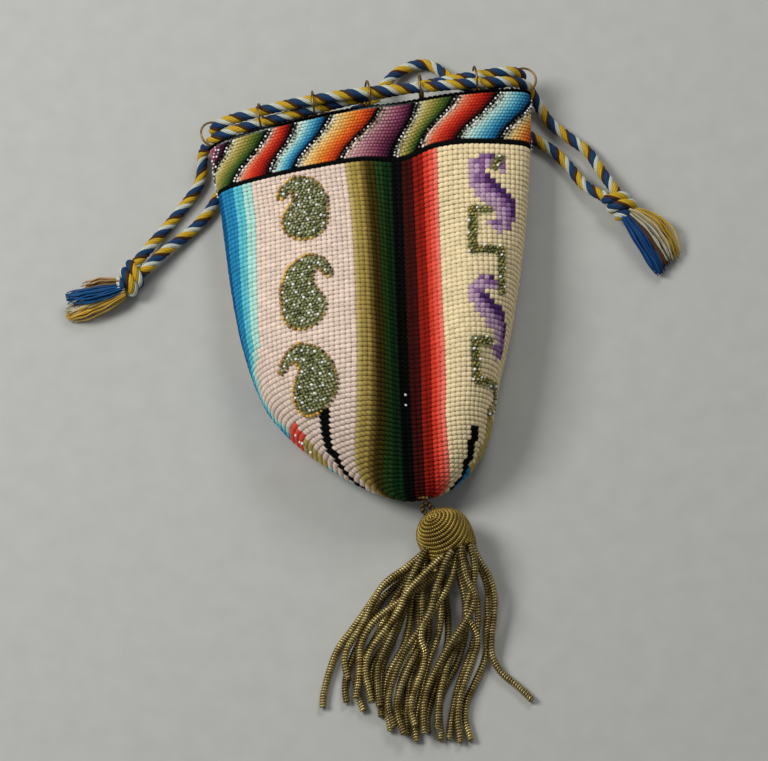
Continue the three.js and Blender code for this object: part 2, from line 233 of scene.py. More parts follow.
def add_strip(bm, points, colour=None, size=(1, 1), tone=1.0):
    """Adds a grid of quads through rows of points, with a colour, its tone at each point and a map. The tone
    carries the painted shade in grooves.
    """
    rows, columns = points.shape[:2]
    run = bm.loops.layers.uv.verify()
    layer = bm.loops.layers.float_color.get("dye_and_shade")
    before = len(bm.verts)
    bmesh.ops.create_grid(bm, x_segments=columns - 1, y_segments=rows - 1, size=0.5, calc_uvs=True)
    bm.verts.ensure_lookup_table()
    added = bm.verts[before:]
    for vert, point in zip(added, points.reshape(-1, 3) * MM):
        vert.co = point
    shade = dict(zip(added, np.broadcast_to(tone, (rows, columns)).reshape(-1)))
    for face in {face for vert in added for face in vert.link_faces}:
        for corner in face.loops:
            corner[run].uv.x *= size[0]
            corner[run].uv.y *= size[1]
            if colour is not None:
                corner[layer] = (*(channel * shade[corner.vert] for channel in colour), 1.0)


def to_mesh(bm):
    mesh = bpy.data.meshes.new("mesh")
    bm.to_mesh(mesh)
    bm.free()
    return mesh


def strip_mesh(strips, apart=WELD, fill=True, wall=0):
    """A mesh of strips, with their seams welded, open ends filled if asked, and faces outwards."""
    bm = bmesh.new()
    bm.loops.layers.uv.new("run")
    bm.loops.layers.float_color.new("dye_and_shade")
    for strip in strips:
        add_strip(bm, *strip)
    bmesh.ops.remove_doubles(bm, verts=bm.verts, dist=apart)
    if fill:
        bmesh.ops.holes_fill(bm, edges=[edge for edge in bm.edges if edge.is_boundary], sides=0)
    bmesh.ops.recalc_face_normals(bm, faces=bm.faces)
    if wall:
        bmesh.ops.solidify(bm, geom=bm.faces, thickness=wall)
    return to_mesh(bm)


def once_round(count, endpoint=True):
    return np.linspace(0, 2 * np.pi, count, endpoint=endpoint)


def unit(vectors):
    return vectors / np.maximum(np.linalg.norm(vectors, axis=-1, keepdims=True), 1e-9)


def sides_along(path):
    """Two steady side directions along a path, with no sudden twist."""
    ways = unit(np.gradient(path, axis=0))
    side = np.cross(ways[0], UP)
    if np.linalg.norm(side) < 0.1:
        side = np.cross(ways[0], [1.0, 0.0, 0.0])
    sides = []
    for way in ways:
        side = side - way * np.dot(side, way)
        side = side / np.linalg.norm(side)
        sides.append(side)
    return np.array(sides), np.cross(ways, sides)


def tube(path, radius, angle):
    """Rings of points round a path. Radius and angle may differ along the path and round it."""
    side, over = (way[:, None, :] for way in sides_along(path))
    return path[:, None, :] + radius[..., None] * (
        side * np.cos(angle)[..., None] + over * np.sin(angle)[..., None])


def run_length(path):
    return np.concatenate([[0.0], np.cumsum(np.linalg.norm(np.diff(path, axis=0), axis=1))])


def resample(path, count):
    run = run_length(path)
    even = np.linspace(0, run[-1], count)
    return np.stack([np.interp(even, run, path[:, k]) for k in range(3)], 1)


def smooth_line(points, steps):
    """A smooth curve through points: a Catmull-Rom spline with centripetal spacing."""
    points = np.asarray(points, float)
    padded = np.vstack([2 * points[0] - points[1], points, 2 * points[-1] - points[-2]])
    gaps = np.maximum(np.linalg.norm(np.diff(padded, axis=0), axis=1) ** 0.5, 1e-6)
    out = []
    for k in range(len(points) - 1):
        p0, p1, p2, p3 = padded[k:k + 4]
        d0, d1, d2 = gaps[k:k + 3]
        lead = ((p1 - p0) / d0 - (p2 - p0) / (d0 + d1) + (p2 - p1) / d1) * d1
        tail = ((p2 - p1) / d1 - (p3 - p1) / (d1 + d2) + (p3 - p2) / d2) * d1
        t = np.linspace(0, 1, steps, endpoint=False)[:, None]
        cubic = (2 * p1 - 2 * p2 + lead + tail) * t ** 3
        out.append(cubic + (3 * p2 - 3 * p1 - 2 * lead - tail) * t ** 2 + lead * t + p1)
    return np.vstack([*out, points[-1:]])


def keep_above(path, low):
    path[:, 2] = np.maximum(path[:, 2], low)


def nodes_named(start):
    return sorted(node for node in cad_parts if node.startswith(start))


def box_middle(points):
    return 0.5 * (points.min(0) + points.max(0))


def node_points(node):
    """A CAD node's corner points in millimetres, and its triangles."""
    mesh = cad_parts[node].data
    corners = np.array([vert.co for vert in mesh.vertices]) / MM
    keys, index = np.unique(np.round(corners, 3), axis=0, return_inverse=True)
    faces = [[index.reshape(-1)[v] for v in face.vertices] for face in mesh.polygons]
    return keys, faces


def centre_line(node, sides):
    """The middle line of a CAD tube, ring by ring from one of its ends."""
    points, faces = node_points(node)
    near = [set() for _ in points]
    for face in faces:
        for corner in face:
            near[corner].update(face)

    def steps_from(first):
        seen = dict.fromkeys(first, 0)
        front = list(first)
        while front:
            following = sorted({n for v in front for n in near[v]} - seen.keys())
            seen.update(dict.fromkeys(following, seen[front[0]] + 1))
            front = following
        return seen

    far = steps_from([0])
    end = max(far, key=far.get)
    steps = steps_from([end])
    close = [v for v in steps if steps[v] <= sides // 2]
    close.sort(key=lambda v: np.linalg.norm(points[v] - points[end]))
    levels = steps_from(close[:sides])
    count = max(levels.values()) + 1
    rings = [[points[v] for v in levels if levels[v] == k] for k in range(count)]
    return np.array([np.mean(ring, axis=0) for ring in rings])


# The pouch's surface, as in the part's source. A station is the share of its length below the mouth, and
# some sizes change over a share of that length. Rows keep the mouth's slant longer than the solid does.
LENGTH = 180.5
MOUTH_Y = 86.5
MOUTH_X = 3.5
MOUTH_WIDTH = 143.0
SIDE_TAPER = 0.235
BASE_ROUNDNESS, BASE_CLOSENESS, BASE_FLATNESS = 4.5, 0.6, 1.3
TIP = 0.9995
SIDE_DRIFT, SIDE_SHARE = 9.0, 0.75
TIP_DRIFT, TIP_SHARE = 10.5, 0.3
MOUTH_SLANT, SLANT_SHARE = 8.0, 0.28
WAIST = 14.0
MOUTH_BULGE, FULL_BULGE, BULGE_SHARE, FRONT_ROUNDNESS = 14.0, 45.0, 0.85, 0.75
MOUTH_FOLD, FULL_FOLD, FOLD_SHARE = 3.0, 21.0, 0.8
FOLD_X, FOLD_SLOPE, FOLD_LEFT, FOLD_RIGHT = 17.0, 14.0, 11.5, 18.0
MOUTH_LIFT, LIFT_SHARE, REST_PRESS, BACK_ROUNDNESS = 7.0, 0.19, 2.0, 0.4

# Stitches in a round, and their size. The band has finer ones.
STITCHES = 132
FINE_STITCHES = 188
FINE_ROWS = 15
ROW_PITCH = 2.25
STITCH_WIDTH = 2.25
# Rounds drawn up towards the mouth right of the fold: how far, where, how far to either side, and the
# shares of the length at which this is full and over which it then fades
DRAWN_UP = 3.2
DRAWN_AT = 14.0
DRAWN_LEFT, DRAWN_RIGHT = 9.0, 26.0
DRAWN_FULL, DRAWN_FADE = 0.12, 0.3


def ease(q):
    q = np.clip(q, 0, 1)
    return q * q * (3 - 2 * q)


def closing(s):
    return np.maximum(0, 1 - np.maximum(0, s) ** BASE_ROUNDNESS) ** BASE_CLOSENESS


def half_width(s):
    return np.maximum(1e-6, 0.5 * MOUTH_WIDTH * (1 - SIDE_TAPER * s) * closing(s))


def middle_x(s):
    return MOUTH_X - SIDE_DRIFT * ease(s / SIDE_SHARE) + TIP_DRIFT * ease((s - (1 - TIP_SHARE)) / TIP_SHARE)


def fold_x(s):
    return FOLD_X - FOLD_SLOPE * s


def pouch_point(s, angle):
    """A point on the pouch's outside: station and angle, from the right side over the front."""
    half = half_width(s)
    x = middle_x(s) + half * np.cos(angle)
    rise = np.sin(angle)
    across = (x - middle_x(s) - half) / (2 * half)
    y = MOUTH_Y - LENGTH * s - MOUTH_SLANT * across ** 2 * (1 - ease(s / SLANT_SHARE))
    up = np.maximum(rise, 0)
    bulge = (MOUTH_BULGE + (FULL_BULGE - MOUTH_BULGE) * ease(s / BULGE_SHARE)) * closing(s)
    run = 1 - np.minimum(1, np.maximum(0, s) / FOLD_SHARE)
    depth = (MOUTH_FOLD + (FULL_FOLD - MOUTH_FOLD) * (1 - run * run)) * closing(s)
    away = x - fold_x(s)
    reach = np.where(away < 0, FOLD_LEFT, FOLD_RIGHT)
    fold = depth * np.exp(-(away / reach) ** 2) * np.minimum(1, 2 * up)
    front = WAIST + bulge * up ** FRONT_ROUNDNESS - fold
    fall = WAIST - MOUTH_LIFT * (1 - ease(s / LIFT_SHARE))
    press = np.minimum(fall, (fall + REST_PRESS) * np.maximum(-rise, 0) ** BACK_ROUNDNESS)
    back = WAIST - press * np.minimum(1, BASE_FLATNESS * closing(s))
    return np.stack(np.broadcast_arrays(x, y, np.where(rise >= 0, front, back)), -1)


def outward(s, angle, step=0.002):
    """Unit directions round the pouch, down it and out of it."""
    round_way = unit(pouch_point(s, angle - step) - pouch_point(s, angle + step))
    down = unit(pouch_point(np.minimum(s + step, TIP), angle) - pouch_point(np.maximum(s - step, 0), angle))
    return round_way, down, unit(np.cross(down, round_way))


def inside(s, angle, depth):
    """Points round the pouch at one station, so far in from its outside."""
    full = np.full(len(angle), s)
    return pouch_point(full, angle) - depth * outward(full, angle)[2]


def row_stations():
    """Stations at equal steps along the fabric, from the mouth to the base's tip."""
    fine = np.linspace(0, 1, 601)
    grid = pouch_point(fine[:, None], once_round(48, False)[None, :])
    run = np.concatenate([[0], np.cumsum(np.linalg.norm(np.diff(grid, axis=0), axis=2).mean(1))])
    edges = np.arange(0, run[-1], ROW_PITCH)
    return np.interp(edges, run, fine)


# Darts: where stitches are left out to close the base. Column, share of the closing,
# first black row, and the share that is left out on the fold's side.
DARTS = ((-19.5, 0.8, 64, 0.2), (15.5, 0.45, 70, 0.5), (44.0, 1.375, 64, 0.5), (-50.5, 1.375, 64, 0.5))
# How far the front's stitches are stretched, by row: left of the fold, near it and further out, and right
LEFT_ROWS = (0, 20, 28, 36, 44, 52, 58, 66, 80)
NEAR_LEFT = (0.98, 0.99, 1.02, 1.05, 1.08, 1.08, 1.08, 1.04, 1.0)
FAR_LEFT = (0.98, 0.99, 1.02, 1.05, 1.08, 1.1, 1.1, 1.12, 1.1)
RIGHT_ROWS = (0, 20, 36, 52, 60, 66, 80)
RIGHT = (1.03, 1.06, 1.1, 1.1, 1.05, 0.98, 0.98)
# Stitches that count as near the fold, and the share of each half that lies in front
NEAR_FOLD = 13
FRONT_SHARE = 0.62
ROUND_POINTS = 1201
# Finer steps round a row where the pouch's front turns over to its back
SIDE_STEPS = np.geomspace(1e-7, 5e-3, 24)


class Row:
    """One round of stitches: which columns it still has, and where each lies."""

    def __init__(self, number, s):
        self.number = number
        self.s = s
        start = math.acos(float(np.clip((fold_x(s) - middle_x(s)) / half_width(s), -1, 1)))
        near_sides = [side + way * SIDE_STEPS for side in (0, -np.pi) for way in (-1, 1)]
        steps = np.concatenate([start - once_round(ROUND_POINTS), *near_sides])
        self.angles = np.unique(np.clip(steps, start - 2 * np.pi, start))[::-1]
        self.run = run_length(pouch_point(np.full(len(self.angles), s), self.angles))
        whole = self.run[-1]
        lost = max(0, STITCHES - whole / STITCH_WIDTH) / len(DARTS)
        column = np.arange(-STITCHES // 2, STITCHES // 2) + 0.5
        kept = np.ones(STITCHES, bool)
        for centre, share, _, inner in DARTS:
            away = (column - centre) * np.sign(centre)
            kept &= (away <= -inner * lost * share) | (away >= (1 - inner) * lost * share)
        self.column = column[kept]
        left = int((self.column < 0).sum())
        rank = np.arange(len(self.column)) - left + 0.5
        on_left = (rank < 0) & (rank > -FRONT_SHARE * left)
        on_right = (rank > 0) & (rank < FRONT_SHARE * (len(rank) - left))
        self.width = np.zeros(len(rank))
        close = rank > -NEAR_FOLD
        for chosen, rows, shares in ((on_left & close, LEFT_ROWS, NEAR_LEFT),
                                     (on_left & ~close, LEFT_ROWS, FAR_LEFT), (on_right, RIGHT_ROWS, RIGHT)):
            self.width[chosen] = STITCH_WIDTH * np.interp(number, rows, shares)
        behind = self.width == 0
        self.width[behind] = (whole - self.width.sum()) / max(1, behind.sum())
        edges = np.concatenate([[0], np.cumsum(self.width)])
        arc = 0.5 * (edges[:-1] + edges[1:]) - edges[left]
        self.place = arc / STITCH_WIDTH
        self.angle = np.interp(arc % whole, self.run, self.angles)
        self.edge = np.zeros(len(rank), bool)
        for centre, _, first, _ in DARTS:
            after = int(np.searchsorted(self.column, centre))
            if number >= first:
                self.edge[max(0, after - 1):after + 1] = True


STATIONS = row_stations()
ROWS = [Row(k, 0.5 * (a + b)) for k, (a, b) in enumerate(zip(STATIONS[:-1], STATIONS[1:]))]

# Crochet pattern. Columns count from the black and maroon border in the fold, rows from the mouth.
BAND_ROWS = 10
EDGE_ROWS = 1
PALETTE = {
    "navy": "123a6e", "deep": "125c8f", "blue": "2889b6", "sky": "60c4d0", "mint": "b4e4d6", "pink": "eed6c3",
    "khaki": "c2ab66", "olive": "ad954b", "umber": "76602c", "moss": "463a10", "pine": "2b4a1d",
    "green": "15371b", "black": "060807", "maroon": "3e0f0b", "wine": "8e1c10", "scarlet": "da3d2a",
    "red": "f05844", "coral": "f67a68", "cream": "f6e0b0", "lilac": "c6a4bd", "purple": "926898",
    "violet": "523068", "under_bead": "7c804e", "stone": "c3c6ae",
}
# Stripes round the pouch, from behind the left side over the front and round the back
SEA = (("blue", 3), ("sky", 2), ("mint", 2))
BORDER = (("khaki", 1), ("olive", 2), ("umber", 1), ("moss", 2), ("pine", 2), ("green", 2), ("black", 2),
          ("maroon", 2), ("wine", 2), ("scarlet", 1), ("red", 1), ("coral", 1))
STRIPES = (("navy", 2), ("deep", 4), *SEA, ("pink", 19), *BORDER, ("cream", 23),
           ("navy", 2), ("deep", 3), *SEA, ("pink", 15), *BORDER, ("cream", 12))
COLUMN_DYES = [name for name, count in STRIPES for _ in range(count)]
FIRST_COLUMN = 44
# Fields of the back's pattern seen past the base's sides: first and last column, first and last row, colour
SIDE_FIELDS = ((-46, -31, 64, 67, "red"), (-46, -31, 67, 72, "khaki"), (16, 19, 70, 84, "stone"),
               (22, 32, 66, 78, "khaki"), (19, 34, 78, 92, "blue"))
# Columns that the pink field gains at its left side, by row, and between which columns this holds
PINK_GAIN = ((45, 46, 47, 51, 55, 60, 63, 64, 70, 72), (0, 1, 1, 4, 6, 6, 3, 0, 0, 3))
GAIN_FROM, GAIN_TO = -60, -25

# Slanting stripes of the band: where each begins at its top and bottom row, and its shades
BAND_LINES = ((-33.2, -42.0), (-25.2, -33.6), (-20.0, -26.0), (-13.0, -20.9), (-3.0, -12.0),
              (4.0, -1.0), (12.0, 4.1), (20.5, 12.1), (29.0, 20.6))
BAND_SHADES = {
    "olive": ("e6dfb4", "c8b870", "9c9040", "566e2c", "0e2814"),
    "red": ("f2d8b8", "ea7650", "dc3c22", "ac2016", "38080a"),
    "blue": ("eef2de", "c0e4da", "70c0d0", "2c88b4", "0b2c52"),
    "orange": ("f6ecc4", "f5cb78", "f19638", "e85a20", "98200e"),
    "plum": ("ecccb4", "c8929a", "b0687a", "803a58", "2a0a22"),
}
BAND_ORDER = (3 * tuple(BAND_SHADES))[:-1] + ("olive", "plum")
BACK_STRIPES = 8
BAND_BEND = 0.45
BLACK_LINE = 1.5

# Beaded leaves: circles along a bent line, as column, row and radius in stitches
LEAVES = (
    ((-21.0, 22.4, 4.6), (-19.4, 18.5, 3.5), (-20.0, 15.3, 2.9), (-21.6, 13.6, 1.9), (-23.7, 14.0, 1.2),
     (-25.0, 15.8, 0.9)),
    ((-23.0, 42.4, 4.6), (-24.2, 38.0, 3.4), (-23.4, 34.6, 2.9), (-21.3, 32.3, 2.0), (-19.0, 32.8, 1.3),
     (-17.6, 35.6, 0.9)),
    ((-21.4, 59.2, 4.9), (-20.8, 56.0, 3.4), (-22.2, 53.4, 2.8), (-24.4, 51.4, 1.9), (-26.7, 51.9, 1.3),
     (-28.4, 53.8, 0.9)),
)
# Olive bead keys and purple scrolls: bent lines of column and row
KEYS = (
    ((19.8, 13.4), (18.8, 15.0)),
    ((17.5, 24.3), (14.3, 24.3), (14.3, 33.0), (20.5, 33.0), (20.5, 41.5)),
    ((17.5, 52.3), (13.8, 52.3), (13.6, 60.0), (20.4, 60.0), (20.8, 63.5), (17.6, 66.0)),
)
KEY_HALF = 1.05
SCROLL = ((20.6, 15.4, 0.9), (19.8, 14.2, 0.9), (17.4, 14.0, 1.5), (15.4, 15.0, 1.7), (15.0, 17.2, 1.8),
          (16.4, 19.0, 2.2), (18.6, 20.8, 2.7), (20.6, 22.6, 2.5), (21.6, 25.0, 2.0), (21.2, 27.2, 1.5),
          (19.8, 28.0, 1.3), (18.6, 27.0, 0.9))
SCROLL_REPEATS = (0.0, 26.0)
# Places that may have a scroll, in stitches from the fold. A scroll is light at its lower left and dark
# at its upper right, a little unevenly.
SCROLL_FROM, SCROLL_TO = 6, 26
SHADE_ACROSS, SHADE_DOWN, SHADE_UNEVEN = 0.8, 0.6, 0.3
LILAC_ABOVE, VIOLET_BELOW = 0.15, -0.9
# Where the front's beadwork ends, in stitches from the fold, and how softly its green ground does
BEADED_TO = 34
GROUND_FADE, GROUND_EDGE = 0.4, 0.3
BLACK = linear(PALETTE["black"])


def thicken(circles, steps=12):
    circles = np.array(circles, float)
    share = np.linspace(0, len(circles) - 1, (len(circles) - 1) * steps + 1)
    return np.stack([np.interp(share, np.arange(len(circles)), circles[:, k]) for k in range(3)], 1)


LEAF_LINES = [thicken(leaf) for leaf in LEAVES]
KEY_LINES = [thicken([(*corner, KEY_HALF) for corner in key]) for key in KEYS]
SCROLL_LINES = [thicken(SCROLL) + [0, lower, 0] for lower in SCROLL_REPEATS]


def depth_in(line, k, row):
    """How far places lie inside a thick line, and which way they lie from the line's middle."""
    k, row = np.asarray(k, float), np.asarray(row, float)
    away = np.hypot(line[:, 0] - k[..., None], line[:, 1] - row[..., None]) - line[:, 2]
    nearest = line[np.argmin(away, -1)]
    return -away.min(-1), k - nearest[..., 0], row - nearest[..., 1]


# The stripes' edges right round the band: the front's, and even ones behind
FRONT_EDGES = np.array(BAND_LINES)
BACK_STEP = (FRONT_EDGES[0] + STITCHES - FRONT_EDGES[-1]) / BACK_STRIPES
BAND_EDGES = np.array([*FRONT_EDGES, *(FRONT_EDGES[-1] + BACK_STEP * k for k in range(1, BACK_STRIPES + 1))])
BAND_TABLE = np.array([[linear(shade) for shade in BAND_SHADES[name]] for name in BAND_ORDER])


def band_bend(fall):
    return BAND_BEND * np.sin(2 * np.pi * fall)


def band_colours(k, row):
    """Colours at places in the band: each stripe runs from light to dark and ends in a black line."""
    fall = np.clip((row + 0.5) / BAND_ROWS, 0, 1)[..., None]
    edges = BAND_EDGES[:, 0] + (BAND_EDGES[:, 1] - BAND_EDGES[:, 0]) * fall + band_bend(fall)
    k = (k - edges[..., 0]) % STITCHES + edges[..., 0]
    stripe = np.clip((edges <= k[..., None]).sum(-1) - 1, 0, len(BAND_ORDER) - 1)
    begin = np.take_along_axis(edges, stripe[..., None], -1)[..., 0]
    finish = np.take_along_axis(edges, stripe[..., None] + 1, -1)[..., 0]
    share = (k - begin) / (finish - begin - BLACK_LINE)
    step = np.clip(share * (len(BAND_TABLE[0]) - 1), 0, len(BAND_TABLE[0]) - 1.001)
    low = step.astype(int)
    blend = (step - low)[..., None]
    shade = BAND_TABLE[stripe, low] * (1 - blend) + BAND_TABLE[stripe, low + 1] * blend
    return np.where((share > 1)[..., None], BLACK, shade)


def body_stitch(column, k, row):
    """A stitch's colour below the band."""
    gain = round(np.interp(row, *PINK_GAIN)) if GAIN_FROM < column < GAIN_TO else 0
    name = COLUMN_DYES[int(math.floor(column) + gain + FIRST_COLUMN) % len(COLUMN_DYES)]
    for first, last, upper, lower, field in SIDE_FIELDS:
        if first <= column < last and upper <= row < lower:
            return PALETTE[field]
    if name == "cream" and SCROLL_FROM < k < SCROLL_TO:
        for scroll in SCROLL_LINES:
            deep, aside, below = depth_in(scroll, k, row)
            if deep > 0:
                light = below * SHADE_DOWN - aside * SHADE_ACROSS + rng.normal(0, SHADE_UNEVEN)
                shade = "lilac" if light > LILAC_ABOVE else "violet" if light < VIOLET_BELOW else "purple"
                return PALETTE[shade]
    return PALETTE[name]


def beaded(k, row):
    """How much of the bead-worked green shows at places: all of it inside a leaf or a key."""
    deep = [depth_in(line, k, row)[0] for line in LEAF_LINES + KEY_LINES]
    return np.clip(np.max(deep, 0) / GROUND_FADE + GROUND_EDGE, 0, 1)


BEAD_DYES = {
    # Clear glass, painted opaque in tones from white to dark: its whitest tones are painted glints
    "clear": ("f2f3ee", "ffffff", "c9ccc4", "8b8d86", "50524c", "24261f"),
    "white": ("f6f6f2",),
    "leaf": ("a5a885", "949068", "b7b89e", "7b7c54", "8d8e60", "666840", "9d9e74", "4b4d33", "b0b194",
             "828353"),
    "gold": ("cf9f38", "e0b64e", "ab7d28", "8f6a28"),
    # Gold beads painted darker for the right side of a leaf's outline: painted shade
    "bronze": ("6b4f24", "8a6a30", "3c3018", "b08a3c"),
    "key": ("8e8c52", "9d944c", "706e40", "aa9044", "565532", "c4b478"),
}
# Single beads: two white ones in the fold and a few on the red field at the left, as kind, column and row
SINGLE_BEADS = (("white", -1.1, 61.0), ("white", -1.1, 63.2), ("white", -29.4, 65.0), ("clear", -29.8, 66.0),
                ("white", -28.6, 66.6), ("clear", -28.8, 67.6), ("white", -27.6, 68.4))
# Sizes of beads, in millimetres
BEAD_SIZES = {"clear": (0.95, 1.2), "gold": (1.7, 2.05)}
OTHER_SIZES = (1.3, 1.65)
BEAD_PROUD = 0.35
# Places of beads, in stitches: how far apart they are in a leaf's outline, in leaves and in keys, and how
# far in from the edge; how far round the outline is gold; and the share of white ones and their distance.
# The white ones are partly white beads and partly painted glints on the glass.
BEADS_DOWN_STRIPE = 17
BEAD_PAIR = ((-0.5, 0), (0.25, 0.3))
OUTLINE_APART, OUTLINE_IN, OUTLINE_MOST = 0.8, 0.1, 0.13
GOLD_TO = 0.25
LEAF_APART, LEAF_IN = 0.74, 0.62
KEY_APART, KEY_IN = 0.78, 0.12
LINES_APART = 0.87
BEAD_UNEVEN = 0.1
WHITE_AND_GLINT_SHARE, WHITE_AND_GLINT_APART = 0.3, 1.8


def well_apart(spot, others, gap):
    return all(math.dist(spot, other) > gap for other in others)


def outline_beads(leaf):
    """Beads in a line just inside a leaf's edge: gold on its left, and on its right the gold painted darker
    as painted shade.
    """
    found = []
    for k, row, radius in leaf:
        for turn in once_round(72, False):
            reach = radius - OUTLINE_IN
            spot = (k + reach * math.cos(turn), row + reach * math.sin(turn))
            if well_apart(spot, found, OUTLINE_APART) and depth_in(leaf, *spot)[0] < OUTLINE_MOST:
                found.append(spot)
                yield "gold" if math.cos(turn) < GOLD_TO else "bronze", *spot


def filling_beads(line, kind, spacing, inset):
    """Beads scattered evenly over a thick line's inside, with white ones well apart among them, partly white
    beads and partly painted glints.
    """
    white = []
    low, high = (line[:, :2] - line[:, 2:]).min(0), (line[:, :2] + line[:, 2:]).max(0)
    for j, row in enumerate(np.arange(low[1], high[1], LINES_APART * spacing)):
        for k in np.arange(low[0] + 0.5 * spacing * (j % 2), high[0], spacing):
            spot = np.array([k, row]) + rng.normal(0, BEAD_UNEVEN, 2)
            if depth_in(line, *spot)[0] > inset:
                if rng.random() < WHITE_AND_GLINT_SHARE and well_apart(spot, white, WHITE_AND_GLINT_APART):
                    white.append(spot)
                    yield "white", *spot
                else:
                    yield kind, *spot


def bead_places():
    """All beads, as kind, column and row. Each of the band's black lines has two lines of them."""
    places = list(SINGLE_BEADS)
    for top, low in BAND_EDGES:
        for fall in (np.arange(BEADS_DOWN_STRIPE) + 0.5) / BEADS_DOWN_STRIPE:
            k = top + (low - top) * fall + band_bend(fall)
            row = fall * BAND_ROWS - 0.5
            for aside, below in BEAD_PAIR:
                places.append(("clear", k + aside + rng.normal(0, BEAD_UNEVEN), row + below))
    for leaf in LEAF_LINES:
        places.extend(outline_beads(leaf))
        places.extend(filling_beads(leaf, "leaf", LEAF_APART, LEAF_IN))
    for key in KEY_LINES:
        places.extend(filling_beads(key, "key", KEY_APART, KEY_IN))
    return places


# One crochet stitch: a flat pillow, darker at its sides with painted shade, and with a dark hole of painted
# shade at each corner where four stitches meet
PILLOW_HIGH = 0.85
INNER = 0.27
# Rise of its points and the painted shade on them: on top, at its sides, above and below, and at the holes
POINT_RISE_AND_SHADE = {(False, False): (1.0, 1.0), (True, False): (0.6, 0.8),
               (False, True): (0.42, 0.68), (True, True): (-0.3, 0.14)}
# Handwork is uneven: how far stitches lean, and the ranges of their width, height, rise and shade
LEAN_UNEVEN = 0.05
WIDE_RANGE, TALL_RANGE = (0.98, 1.06), (0.99, 1.07)
RISE_RANGE, SHADE_RANGE = (0.85, 1.12), (0.9, 1.08)
LEAST_TALL = 0.8
# The black stitches over the mouth's edge: their size, and how far in and up they lie
EDGE_STITCH = (2.5, 2.4, 1.3)
EDGE_IN, EDGE_UP = 0.9, 0.3


def shape_of(bm):
    points = np.array([vert.co for vert in bm.verts])
    faces = np.array([[vert.index for vert in face.verts] for face in bm.faces])
    bm.free()
    return points, faces


def stitch_shape():
    """The pillow's points as shares of width, height and rise, their painted shade, and its faces."""
    bm = bmesh.new()
    bmesh.ops.create_grid(bm, x_segments=3, y_segments=3, size=0.5)
    points, faces = shape_of(bm)
    flat = points[:, :2]
    edge = np.abs(flat) > INNER
    rise, tone = np.array([POINT_RISE_AND_SHADE[tuple(sides)] for sides in edge.tolist()]).T
    return np.column_stack([np.where(edge, flat, np.copysign(INNER, flat)), rise]), tone, faces


def bead_shape():
    """A bead's points for a diameter of 1, its tones and its faces."""
    bm = bmesh.new()
    bmesh.ops.create_icosphere(bm, subdivisions=1, radius=0.5)
    points, faces = shape_of(bm)
    return points, np.ones(len(points)), faces


def repeated(shape, axes, centres, dyes):
    """One mesh of a small shape set at many places, each with three axes, a centre and its colours."""
    points, tones, faces = shape
    spots = np.einsum("pk,nkc->npc", points, axes) + centres[:, None, :]
    count, each = len(centres), len(points)
    mesh = bpy.data.meshes.new("mesh")
    corners = (faces[None, :, :] + (np.arange(count) * each)[:, None, None]).reshape(-1, faces.shape[1])
    mesh.from_pydata((spots.reshape(-1, 3) * MM).tolist(), [], corners.tolist())
    colour = mesh.attributes.new("dye_and_shade", "FLOAT_COLOR", "POINT")
    # A stitch's tones are painted shade at its sides and holes; a bead's are all 1
    tinted = np.broadcast_to(dyes, (count, each, 3)) * tones[None, :, None]
    full = np.concatenate([tinted, np.ones((count, each, 1))], 2)
    colour.data.foreach_set("color", full.reshape(-1).astype(np.float32))
    return mesh


STITCH = stitch_shape()


def drawn_up(s, angle):
    """Stations of a round that is drawn up towards the mouth just right of the fold."""
    aside = pouch_point(s, angle)[..., 0] - fold_x(s) - DRAWN_AT
    reach = np.where(aside < 0, DRAWN_LEFT, DRAWN_RIGHT)
    fade = np.minimum(1, s / DRAWN_FULL) * (1 - ease((s - DRAWN_FULL) / DRAWN_FADE)) * (np.sin(angle) > 0)
    return s - DRAWN_UP / LENGTH * np.exp(-(aside / reach) ** 2) * fade


def lay_round(s, angle, wide, tall, dyes):
    """Axes, centres and colours of one round of stitches, a little uneven as handwork is."""
    count = len(angle)
    full = drawn_up(np.full(count, s), angle)
    round_way, down, out = outward(full, angle)
    lean = rng.normal(0, LEAN_UNEVEN, count)[:, None]
    axes = np.stack([(round_way + lean * down) * (wide * rng.uniform(*WIDE_RANGE, count))[:, None],
                     down * (tall * rng.uniform(*TALL_RANGE, count))[:, None],
                     out * (PILLOW_HIGH * rng.uniform(*RISE_RANGE, count))[:, None]], 1)
    shade = rng.uniform(*SHADE_RANGE, count)[:, None, None]
    return axes, pouch_point(full, angle) - out * PILLOW_HIGH, dyes * shade


def station_at(row):
    return np.interp(row + 0.5, np.arange(len(STATIONS)), STATIONS)


def band_rounds():
    """The band's rounds, in finer stitches than the rest, and the black round below it."""
    for j in range(FINE_ROWS):
        number = (j + 0.5) * BAND_ROWS / FINE_ROWS - 0.5
        row = Row(number, float(station_at(number)))
        whole = row.run[-1]
        wide = whole / FINE_STITCHES
        arc = (np.arange(FINE_STITCHES) + 0.5 * (j % 2)) * whole / FINE_STITCHES
        angle = np.interp(arc, row.run, row.angles)
        from_fold = (arc + 0.5 * whole) % whole - 0.5 * whole
        k = (from_fold[:, None] + wide * STITCH[0][:, 0]) / STITCH_WIDTH
        down = np.broadcast_to(number + STITCH[0][:, 1] * BAND_ROWS / FINE_ROWS, k.shape)
        yield lay_round(row.s, angle, wide, ROW_PITCH * (BAND_ROWS / FINE_ROWS), band_colours(k, down))
    for row in ROWS[BAND_ROWS:BAND_ROWS + EDGE_ROWS]:
        yield lay_round(row.s, row.angle, row.width, ROW_PITCH, np.array(BLACK))


